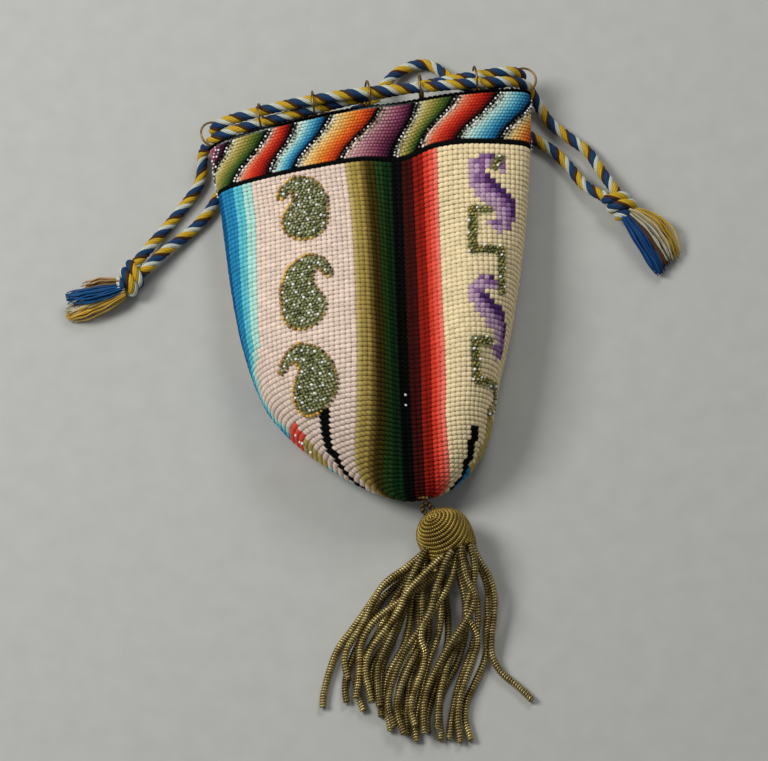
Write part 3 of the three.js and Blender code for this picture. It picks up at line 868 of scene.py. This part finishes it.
def body_rounds():
    """The rounds below the band."""
    green = np.array(linear(PALETTE["under_bead"]))
    for row in ROWS[BAND_ROWS + EDGE_ROWS:]:
        low, high = STATIONS[row.number], STATIONS[row.number + 1]
        tall = np.linalg.norm(pouch_point(high, row.angle) - pouch_point(low, row.angle), axis=1)
        codes = [PALETTE["black"] if edge else body_stitch(column, k, row.number)
                 for column, k, edge in zip(row.column, row.place, row.edge)]
        base = np.array([linear(code) for code in codes])[:, None, :]
        k = row.place[:, None] + (row.width / STITCH_WIDTH)[:, None] * STITCH[0][:, 0]
        worked = beaded(k, row.number + np.broadcast_to(STITCH[0][:, 1], k.shape))
        worked = worked * (np.abs(row.place) < BEADED_TO)[:, None] * ~row.edge[:, None]
        yield lay_round(row.s, row.angle, row.width, np.maximum(tall, LEAST_TALL),
                        base * (1 - worked[..., None]) + green * worked[..., None])


def mouth_edge():
    """A round of black stitches worked over the mouth's edge."""
    arc = np.linspace(0, ROWS[0].run[-1], STITCHES, endpoint=False)
    angles = np.interp(arc, ROWS[0].run, ROWS[0].angles)
    s = np.zeros(STITCHES)
    round_way, down, out = outward(s, angles)
    centres = pouch_point(s, angles) - EDGE_IN * out - EDGE_UP * down
    wide, tall, high = EDGE_STITCH
    axes = np.stack([round_way * wide, -out * tall, -down * high], 1)
    return axes, centres, np.broadcast_to(BLACK, (STITCHES, 1, 3))


def joined(rounds):
    """Rounds of stitches as one list of axes, centres and colours."""
    axes, centres, dyes = zip(*rounds)
    each = len(STITCH[0])
    dyes = [np.broadcast_to(tint, (len(spots), each, 3)) for tint, spots in zip(dyes, centres)]
    return np.concatenate(axes), np.concatenate(centres), np.concatenate(dyes)


def on_pouch(k, row):
    """The station and angle of a place given in stitches from the fold and rows from the mouth."""
    first = int(np.clip(math.floor(row), 0, len(ROWS) - 2))
    turns = [np.interp(k * STITCH_WIDTH % near.run[-1], near.run, near.angles)
             for near in ROWS[first:first + 2]]
    share = np.clip(row - first, 0, 1)
    return station_at(row), turns[0] * (1 - share) + turns[1] * share


def build_beads():
    places = bead_places()
    s, angle = np.array([on_pouch(k, row) for _, k, row in places]).T
    s = drawn_up(s, angle)
    sizes, dyes = [], []
    for kind, _, _ in places:
        sizes.append(rng.uniform(*BEAD_SIZES.get(kind, OTHER_SIZES)))
        dyes.append(linear(BEAD_DYES[kind][rng.integers(len(BEAD_DYES[kind]))]))
    ways = np.stack(outward(s, angle), 1)
    centres = pouch_point(s, angle) + BEAD_PROUD * ways[:, 2]
    mesh = repeated(bead_shape(), ways * np.array(sizes)[:, None, None], centres, np.array(dyes)[:, None, :])
    finish_piece("glass_beads", mesh, BEAD, "bag")


def build_crochet():
    band = repeated(STITCH, *joined([*band_rounds(), mouth_edge()]))
    finish_piece("crochet_band", band, WOOL, "bag")
    body = repeated(STITCH, *joined(body_rounds()))
    finish_piece("crochet_body", body, WOOL, "bag", ["pouch"])
    build_beads()


# What lies under the stitches, a dark backing of painted shade, and the lining: how far in, and how far down
# the lining reaches
SHADE_BACKING_IN = 0.75
LINING_IN = 2.3
LINING_REACH = 0.67
LINING_THICK = 0.4
LINING_LIP = 1.0
# Ripples: how deep, how many round the lining and its edge, and how far they turn down the lining
RIPPLE = 0.25
LINING_RIPPLES, EDGE_RIPPLES, RIPPLE_TURN = 17, 23, 9
# The lining's edge where the band hides it and where it shows: how far in and how high it lies
EDGE_HIDDEN_IN, EDGE_SHOWN_IN = 3.2, 1.4
EDGE_HIDDEN_UP, EDGE_SHOWN_UP = -1.5, 1.1
# Where it shows in front, as angle and reach; its thickness, and waves in that: depth, count and start
EDGE_SEEN = ((2.5, 0.4), (1.5, 0.2))
EDGE_THICK = 1.15
EDGE_WAVES = ((0.3, 9, 1), (0.2, 31, 0))


def build_shade_backing():
    """A dark, smooth skin just under the stitches: the yarn behind them, painted dark as the shade that shows
    in the gaps between them.
    """
    grid = np.array([inside(s, once_round(177), SHADE_BACKING_IN) for s in (*STATIONS, TIP)])
    # Its dark colour is painted shade for the gaps between stitches
    mesh = strip_mesh([(grid, linear("2c231e"))], fill=False)
    finish_piece("painted_shade_backing", mesh, WOOL, "bag")


def build_lining():
    """The silk bag inside, a little rippled."""
    turns = once_round(145)
    grid = [inside(s, turns, (LINING_IN + RIPPLE * np.sin(turns * LINING_RIPPLES + RIPPLE_TURN * s))[:, None])
            for s in np.linspace(0, LINING_REACH, 26)]
    grid[0] = grid[0] + [0, LINING_LIP, 0]
    grid.append(np.repeat(grid[-1].mean(0)[None, :], len(turns), 0))
    mesh = strip_mesh([(np.array(grid),)], fill=False, wall=LINING_THICK * MM)
    finish_piece("silk_lining", mesh, SILK, "bag", ["lining"])


def build_silk_edge():
    """The lining's edge, rolled out over the mouth. It shows behind, and at two places in front."""
    turns = once_round(145)
    shown = sum(np.exp(-((turns - at) / reach) ** 2) for at, reach in EDGE_SEEN) + (turns > math.pi)
    shown = np.minimum(shown, 1)
    depth = EDGE_HIDDEN_IN - (EDGE_HIDDEN_IN - EDGE_SHOWN_IN) * shown
    lift = (EDGE_SHOWN_UP - EDGE_HIDDEN_UP) * shown + EDGE_HIDDEN_UP + RIPPLE * np.sin(turns * EDGE_RIPPLES)
    path = inside(0, turns, depth[:, None]) + lift[:, None] * np.array([0.0, 1.0, 0.0])
    thick = sum((deep * np.sin(turns * count + start) for deep, count, start in EDGE_WAVES), EDGE_THICK)
    rings = tube(path, thick[:, None], once_round(11))
    rings[-1] = rings[0]
    finish_piece("silk_edge", strip_mesh([(rings,)], 10 * WELD), SILK, "bag")


# Rings: the wire's width, the ring's mean radius, and the points round each
WIRE = 0.95
RING_MEAN = 5.8
WIRE_POINTS, RING_POINTS = 10, 44


def build_rings():
    """Brass wire rings, turned about the CAD rings' own axes."""
    for name in nodes_named("ring_"):
        points = node_points(name)[0]
        centre = box_middle(points)
        facing = np.linalg.svd(points - centre)[2][2]
        bm = bmesh.new()
        start = Matrix.Translation((RING_MEAN * MM, 0, 0)) @ Matrix.Rotation(math.pi / 2, 4, "X")
        bmesh.ops.create_circle(bm, segments=WIRE_POINTS, radius=0.5 * WIRE * MM, matrix=start)
        bmesh.ops.spin(bm, geom=bm.verts[:] + bm.edges[:], cent=(0, 0, 0), axis=(0, 0, 1), dvec=(0, 0, 0),
                       angle=2 * math.pi, steps=RING_POINTS, use_merge=True, use_duplicate=False)
        bmesh.ops.recalc_face_normals(bm, faces=bm.faces)
        turn = Vector((0, 0, 1)).rotation_difference(Vector(facing)).to_matrix().to_4x4()
        bm.transform(Matrix.Translation(Vector(centre) * MM) @ turn)
        finish_piece(f"brass_{name}", to_mesh(bm), BRASS, "bag", [name])


# Cords: four plies of unequal width laid together, with a right-hand twist
PLIES = (("e6ecd8", 0.23), ("e8ba22", 0.31), ("54300f", 0.15), ("12416f", 0.31))
PLY_PITCH = 12.5
CORD_WIDTH = 5.0
CORD_STEP = 0.95
CORD_EASING = 10
# How far towards the knot the ends are led, and how much of that goes straight on
LED_IN = 0.6
ONWARD_SHARE = 0.6
ABOVE_TABLE = 0.05
PLY_GROOVE = 0.2
YARNS = 3
YARN_GROOVE = 0.05
LOBE_POINTS = 10
# Fibres: lines across a full ply, and the length of cord to each
FIBRES_ACROSS = 4.0
FIBRE_RUN = 1.4


def rope(path, width, pitch):
    """A rope's strips: one for each ply's outside, three yarns wide, turning as it runs. Painted shade
    darkens each ply to half between its yarns.
    """
    run = run_length(path)
    part = np.linspace(0, 1, LOBE_POINTS)
    yarn = np.abs(np.sin(YARNS * math.pi * part))
    lobe = 0.5 * width * (1 - PLY_GROOVE * (2 * part - 1) ** 2 - YARN_GROOVE * (1 - yarn))
    begin = 0.0
    for colour, share in PLIES:
        angle = 2 * math.pi * ((begin + share * part)[None, :] + (run / pitch)[:, None])
        fibres = (FIBRES_ACROSS * share * len(PLIES), run[-1] / FIBRE_RUN)
        # The tone halves between the yarns: painted shade in the grooves
        yield tube(path, lobe[None, :], angle), linear(colour), fibres, 0.5 + 0.5 * yarn
        begin += share


def build_cord(side, knot):
    """A cord on the CAD cord's own middle line, with both ends led into the knot."""
    middle = centre_line(f"cord_{side}", 8)
    ends = []
    for end, before in ((middle[0], middle[2]), (middle[-1], middle[-3])):
        inward = knot - end
        onward = np.linalg.norm(inward) * unit(end - before)
        ends.append(end + LED_IN * (ONWARD_SHARE * onward + (1 - ONWARD_SHARE) * inward))
    line = smooth_line([ends[0], *middle, ends[1]], 10)
    path = resample(line, int(run_length(line)[-1] / CORD_STEP))
    for _ in range(CORD_EASING):
        path[1:-1] = 0.5 * path[1:-1] + 0.25 * (path[:-2] + path[2:])
    keep_above(path, 0.5 * CORD_WIDTH + ABOVE_TABLE)
    mesh = strip_mesh(rope(path, CORD_WIDTH, PLY_PITCH))
    return finish_piece(f"twisted_cord_{side}", mesh, COTTON, "bag", [f"cord_{side}"]), path


KNOT_TURNS = 2.4
KNOT_REACH = 4.1
KNOT_STEP = 4.4
KNOT_SLANT = 0.35
KNOT_FLAT = 0.8
# How soon the wraps reach their full width, and their width at the ends
KNOT_TAPER, KNOT_ENDS = 3.2, 0.25
KNOT_CORD, KNOT_PITCH = 4.7, 14.0
KNOT_LOW = 2.4


def left_of(way):
    return np.array([-way[1], way[0], 0.0])


def build_knot(side, centre, lean):
    """An overhand knot drawn tight: the cord wrapped slantwise round its own two ends."""
    turn = np.linspace(-KNOT_TURNS * math.pi, KNOT_TURNS * math.pi, 161)
    reach = KNOT_REACH * np.minimum(1, KNOT_TAPER * (1 - np.abs(turn) / (KNOT_TURNS * math.pi)) + KNOT_ENDS)
    loop = (centre + (reach * np.cos(turn))[:, None] * (left_of(lean) + KNOT_SLANT * lean)
            + (KNOT_FLAT * reach * np.sin(turn))[:, None] * UP
            - (KNOT_STEP * turn / (2 * math.pi))[:, None] * lean)
    keep_above(loop, KNOT_LOW)
    mesh = strip_mesh(rope(loop, KNOT_CORD, KNOT_PITCH))
    return finish_piece(f"cord_knot_{side}", mesh, COTTON, "bag", [f"knot_{side}"])


THREAD_WIDTH = 0.9
THREAD_REACH, THREAD_TINT = (0.88, 1.06), (0.6, 1.2)
CRIMP, CRIMP_WAVES = 0.3, (12, 20)
THREAD_FIBRES = (2.0, 1.5)
# How unevenly threads lie, across and upwards: at the root, halfway and at the tip
ROOT_UNEVEN, HALFWAY_UNEVEN, TIP_UNEVEN = (0.6, 0.9), (1.1, 0.8), (1.2, 1.0)
ROOT_SHARE = 0.4
HALFWAY_UP = 2.0
# The plies in a tuft: colour, how far each lies aside and how high, how far it swings out on its way,
# how many threads it has and how far it reaches
LOCKS = {
    "left": (("11568c", 0.0, 5.2, 1.0, 90, 1.0), ("b08a58", -4.6, 2.2, -0.6, 24, 0.72),
             ("ddd4b6", 4.4, 2.4, -0.6, 34, 1.06), ("d4aa40", 6.4, 1.6, 0.6, 44, 1.06)),
    "right": (("0f4e8c", -4.9, 2.6, 0.4, 70, 1.0), ("54361c", -1.5, 2.9, 1.6, 44, 0.96),
              ("dcd6bc", 1.7, 2.6, 2.6, 40, 0.94), ("dcb648", 5.0, 1.8, 4.2, 50, 0.94)),
}
TUFT_RAISE = {"left": 13.5, "right": 0.0}
TUFT_ROOT = 4.5


def build_tuft(side, centre, lean):
    """The cord's end below its knot: each ply unravelled into a lock of loose threads."""
    points = node_points(f"tuft_{side}")[0]
    root = centre - lean * TUFT_ROOT
    tip = points[np.argsort(np.linalg.norm(points - root, axis=1))[-8:]].mean(0) + [0, TUFT_RAISE[side], 0]
    wide = left_of(unit(tip - root))
    share = np.linspace(0, 1, 22)[:, None]
    thin = 0.5 * THREAD_WIDTH * (1 - 0.5 * share ** 4)

    def thread(colour, aside, high, swing, far):
        across, up = rng.normal(0, 1, 2)
        end = root + (tip - root) * far * rng.uniform(*THREAD_REACH) + wide * (aside + across * TIP_UNEVEN[0])
        end[2] = max(THREAD_WIDTH, high + up * TIP_UNEVEN[1])
        begin = root + wide * (ROOT_SHARE * aside + across * ROOT_UNEVEN[0]) + UP * (up * ROOT_UNEVEN[1])
        bent = (0.5 * (begin + end) + wide * (2 * swing + across * HALFWAY_UNEVEN[0])
                + UP * (HALFWAY_UP + up * HALFWAY_UNEVEN[1]))
        line = begin * (1 - share) ** 2 + 2 * bent * share * (1 - share) + end * share ** 2
        line = line + CRIMP * np.sin(share * rng.uniform(*CRIMP_WAVES) + rng.uniform(0, 6)) * share * wide
        keep_above(line, 0.5 * THREAD_WIDTH)
        tint = np.array(linear(colour)) * rng.uniform(*THREAD_TINT)
        return tube(line, thin, once_round(6)), tint, THREAD_FIBRES

    mesh = strip_mesh(thread(colour, aside, high, swing, far)
                      for colour, aside, high, swing, threads, far in LOCKS[side] for _ in range(threads))
    return finish_piece(f"loose_threads_{side}", mesh, COTTON, "bag", [f"tuft_{side}"])


def build_cords():
    for side in ("left", "right"):
        centre = box_middle(node_points(f"knot_{side}")[0])
        cord, path = build_cord(side, centre)
        lean = 0.5 * (path[0] + path[-1]) - centre
        lean = unit(lean * (1, 1, 0))
        knot = build_knot(side, centre, lean)
        tuft = build_tuft(side, centre, lean)
        length = run_length(path)[-1] * MM


# Tassel
LEAN = 0.36
TASSEL_WAY = np.array([math.sin(LEAN), -math.cos(LEAN), 0.0])
TASSEL_SIDE = np.array([math.cos(LEAN), math.sin(LEAN), 0.0])
# Coiled wires: width over the coil, how deep its grooves are, its pitch and the rings of points to a turn
STRAND_WIRE = (3.5, 0.5, 1.2, 6)
HEAD_WIRE = (1.95, 0.35, 0.95, 5)
LOOP_WIRE = (2.9, 0.6, 1.8, 6)
COIL_SIDES = 8
# How much painted shade darkens the coils' grooves
GROOVE_SHADE = 0.9
STRAND_SHINE = (0.6, 1.15)
# How far strands sway at random, over how long this begins, and the ranges of the waves' depth and length
STRAND_SWAY, SWAY_RUN = 1.5, 40.0
WAVE_DEPTH, WAVE_LENGTH = (0.4, 1), (6, 10)
# Where the uppermost strands cross their neighbours, over how long a run, how high, and how far aside
CROSS_AT = 26.0
CROSS_RUN = 11.0
CROSS_RISE = 2.4
CROSSINGS = (6.0, -7.0, 7.0, -8.0, 8.0)
# The fan: where its width is taken, and where on the head's sides the outer strands begin
FAN_AT = 40.0
FAN_WIDE = 20.0
FAN_RUN = 36.0
FAN_OUT = 9.0
FAN_DOWN = 4.0
# How far the strands bow out to the left on their way down, at the fan's left and right side
BOWS = (14.0, 3.0)
BOW_EARLY = 0.75
# One strand, counted from the left, that runs right across the others: how far aside it begins and how
# high it rises, and where along it and over how long a run it comes back, rises and sinks
ACROSS_PLACE = 3
ACROSS_REACH, ACROSS_RISE = 15.0, 5.0
BACK_AT, BACK_RUN = 12.0, 15.0
RISE_RUN, SINK_AT, SINK_RUN = 8.0, 22.0, 18.0


def coil(path, wire, bright=1.0):
    """A strip for a closely wound wire: a tube whose ridges run round it like a screw thread, with painted
    shade darkening its grooves.
    """
    width, groove, pitch, per_turn = wire
    path = resample(path, max(8, int(run_length(path)[-1] / pitch * per_turn)))
    angle = once_round(COIL_SIDES + 1)
    phase = 2 * math.pi * run_length(path)[:, None] / pitch - angle[None, :]
    sunk = 0.5 - 0.5 * np.cos(phase)
    rings = tube(path, 0.5 * width - groove * sunk, angle)
    rings[:, -1] = rings[:, 0]
    return rings, [bright] * 3, (1, 1), 1 - GROOVE_SHADE * sunk


# The middle of the tassel's head
TASSEL_WAYS = np.array([TASSEL_WAY, TASSEL_SIDE, UP])
HEAD = box_middle(node_points("tassel_head")[0] @ TASSEL_WAYS.T) @ TASSEL_WAYS

# The loop's thread: how far in from the solid's edge it lies, and how soon it runs straight
LOOP_IN = 0.95
LOOP_STRAIGHT = 4
# The head's bulb, and the turn, tilt and pitch of the thread wound on it
HEAD_LONG = 21.0
HEAD_WIDE = 24.0
HEAD_DOME = 11.2
HEAD_WAIST = 1.8
HEAD_TURN = 0.6
HEAD_TILT = 0.9
HEAD_PITCH = 1.7
# The wound thread: where its last turn lies, how far it is sunk in the bulb, its least reach, and how
# far it stays above the table
HEAD_END = 9.4
HEAD_SUNK = 0.4
HEAD_LEAST = 0.3
HEAD_ABOVE = 0.1
# A core under the thread, painted dark as the shade between its turns: where it begins and ends, and how far
# in it lies
CORE_FROM, CORE_TO = -6.5, 10.2
CORE_IN = 1.7
# How dark the core is painted: painted shade between the thread's turns
CORE_SHADE_TONE = 0.2


def head_radius(along):
    """The wrapped bulb's radius: round towards the pouch, a bell towards the strands."""
    dome = np.sqrt(np.maximum(0, 1 - (np.minimum(along, 0) / HEAD_DOME) ** 2))
    return 0.5 * HEAD_WIDE * dome - HEAD_WAIST * np.maximum(along / (0.5 * HEAD_LONG), 0) ** 2


def bulb_reach(middle, ways):
    """How far the bulb's surface lies from points inside it, along unit directions."""
    near, far = np.zeros(len(ways)), np.full(len(ways), 20.0)
    for _ in range(24):
        reach = 0.5 * (near + far)
        spot = middle + reach[:, None] * ways
        along = spot @ TASSEL_WAY
        across = np.linalg.norm(spot - along[:, None] * TASSEL_WAY, axis=1)
        within = (along < 0.5 * HEAD_LONG) & (across < head_radius(along))
        near, far = np.where(within, reach, near), np.where(within, far, reach)
    return near


def build_head():
    """A gilt thread wound in close turns over a bulb, about an axis that leans up to the neck."""
    thread = HEAD_WIRE[0]
    flat = np.array([math.sin(HEAD_TURN), -math.cos(HEAD_TURN), 0.0])
    axis = flat * math.cos(HEAD_TILT) - UP * math.sin(HEAD_TILT)
    first = np.array([math.cos(HEAD_TURN), math.sin(HEAD_TURN), 0.0])
    second = np.cross(axis, first)

    def spokes(turn):
        return np.cos(turn)[:, None] * first + np.sin(turn)[:, None] * second

    crown = bulb_reach(np.zeros(3), -axis[None, :])[0]
    depths = np.linspace(-crown, HEAD_END, 120)
    girth = np.array([bulb_reach(depth * axis, spokes(once_round(24, False))).mean() for depth in depths])
    slope = run_length(np.stack([depths, girth, np.zeros(len(depths))], 1))
    turn = np.linspace(0.5, 2 * math.pi * slope[-1] / HEAD_PITCH, 2000)
    middle = np.interp(HEAD_PITCH * turn / (2 * math.pi), slope, depths)[:, None] * axis
    reach = np.maximum(bulb_reach(middle, spokes(turn)) - HEAD_SUNK * thread, HEAD_LEAST)
    line = HEAD + middle + reach[:, None] * spokes(turn)
    keep_above(line, 0.5 * thread + HEAD_ABOVE)
    # The core is painted dark: painted shade that shows between the thread's turns
    profile = np.linspace(CORE_FROM, CORE_TO, 24)[:, None, None]
    angle = once_round(33)[None, :, None]
    core = head_radius(profile) - CORE_IN
    rings = HEAD + profile * TASSEL_WAY + core * (np.cos(angle) * TASSEL_SIDE + np.sin(angle) * UP)
    mesh = strip_mesh([coil(line, HEAD_WIRE), (rings, [CORE_SHADE_TONE] * 3)])
    finish_piece("wound_head", mesh, HEAD_GILT, "tassel", ["tassel_head"])


def build_loop():
    """The loop of gilt thread that holds the tassel: long, with round ends."""
    points = node_points("tassel_loop")[0]
    centre = points.mean(0)
    run, aside, _ = np.linalg.svd(points - centre)[2]
    long, wide = (0.5 * np.ptp(points @ way) - LOOP_IN for way in (run, aside))
    turn = once_round(61)
    along = np.cos(turn)
    straight = (long - wide) * np.sign(along) * np.minimum(1, LOOP_STRAIGHT * np.abs(along))
    line = centre + (wide * along + straight)[:, None] * run + (wide * np.sin(turn))[:, None] * aside
    mesh = strip_mesh([coil(line, LOOP_WIRE)])
    finish_piece("thread_loop", mesh, NECK_THREAD, "tassel_link", ["tassel_loop"])


def strand_lines():
    """The CAD strands' middle lines, each from the head to its free end."""
    lines = {}
    for name in nodes_named("strand_"):
        line = centre_line(name, 6)
        if np.linalg.norm(line[-1] - HEAD) < np.linalg.norm(line[0] - HEAD):
            line = line[::-1]
        lines[name] = smooth_line(line, 12)
    return lines


def build_strands():
    """Bullion strands: gilt wire coiled into long springs. Some cross over the rest below the head."""
    lines = strand_lines()
    height, aside = {}, {}
    for name, line in lines.items():
        run = run_length(line)
        height[name] = np.interp(CROSS_AT, run, line[:, 2])
        aside[name] = np.interp(FAN_AT, run, (line - HEAD) @ TASSEL_SIDE)
    upper = sorted(height, key=height.get)[-len(CROSSINGS):]
    across = sorted(aside, key=aside.get)[ACROSS_PLACE]
    for name, line in lines.items():
        run = run_length(line)
        waves = rng.uniform(*WAVE_DEPTH) * np.sin(run / rng.uniform(*WAVE_LENGTH) + rng.uniform(0, 6))
        sway = STRAND_SWAY * waves * ease(run / SWAY_RUN)
        fan = np.clip(aside[name] / FAN_WIDE, -1, 1)
        sway = sway - np.interp(fan, (-1, 1), BOWS) * np.sin(math.pi * (run / run[-1]) ** BOW_EARLY)
        rise = np.zeros(len(run))
        if name == across:
            sway = sway + ACROSS_REACH * (1 - ease((run - BACK_AT) / BACK_RUN))
            rise = ACROSS_RISE * ease(run / RISE_RUN) * (1 - ease((run - SINK_AT) / SINK_RUN))
        elif name in upper:
            crossing = np.exp(-((run - CROSS_AT) / CROSS_RUN) ** 2)
            sway = sway + CROSSINGS[upper.index(name)] * crossing
            rise = CROSS_RISE * crossing
        else:
            root = HEAD + FAN_OUT * np.sign(fan) * TASSEL_SIDE + FAN_DOWN * TASSEL_WAY
            line = line + np.outer(np.abs(fan) * (1 - ease(run / FAN_RUN)), (root - line[0]) * (1, 1, 0))
        line = line + np.outer(sway, TASSEL_SIDE) + np.outer(rise, UP)
        keep_above(line, 0.5 * STRAND_WIRE[0])
        mesh = strip_mesh([coil(line, STRAND_WIRE, rng.uniform(*STRAND_SHINE))])
        finish_piece(f"bullion_{name[-2:]}", mesh, BULLION, "tassel", [name])


build_cords()
build_crochet()
build_shade_backing()
build_lining()
build_silk_edge()
build_rings()
build_head()
build_loop()
build_strands()


# Stage: a pale grey table, a little below the bag, and soft light from the upper left
TABLE_HALF = 4
TABLE_DROP = 0.4


def build_stage():
    material, tree = new_material("table_linen")
    tone = between(tree, noise(tree, 10 * MM, 4.0), "b0b0aa", "bcbcb6")
    dress(material, Base_Color=tone, Roughness=0.95)
    bm = bmesh.new()
    bmesh.ops.create_grid(bm, x_segments=1, y_segments=1, size=TABLE_HALF)
    table = add_object("table", to_mesh(bm))
    table.data.materials.append(material)
    table.location.z = -TABLE_DROP * MM


def add_light(name, place, size, power):
    data = bpy.data.lights.new(name, "AREA")
    data.size = size
    data.energy = power
    lamp = add_object(name, data)
    lamp.location = place
    lamp.rotation_euler = (-Vector(place)).to_track_quat("-Z", "Y").to_euler()


build_stage()
add_light("window", (-0.75, 0.25, 0.95), 0.5, 10.5)
add_light("second_window", (0.45, 0.8, 1.0), 0.45, 5.0)
world = bpy.data.worlds.new("room")
world.use_nodes = True
plug(world.node_tree, world.node_tree.nodes["Background"], {"Color": rgba("dfe3ea"), "Strength": 0.28})
bpy.context.scene.world = world
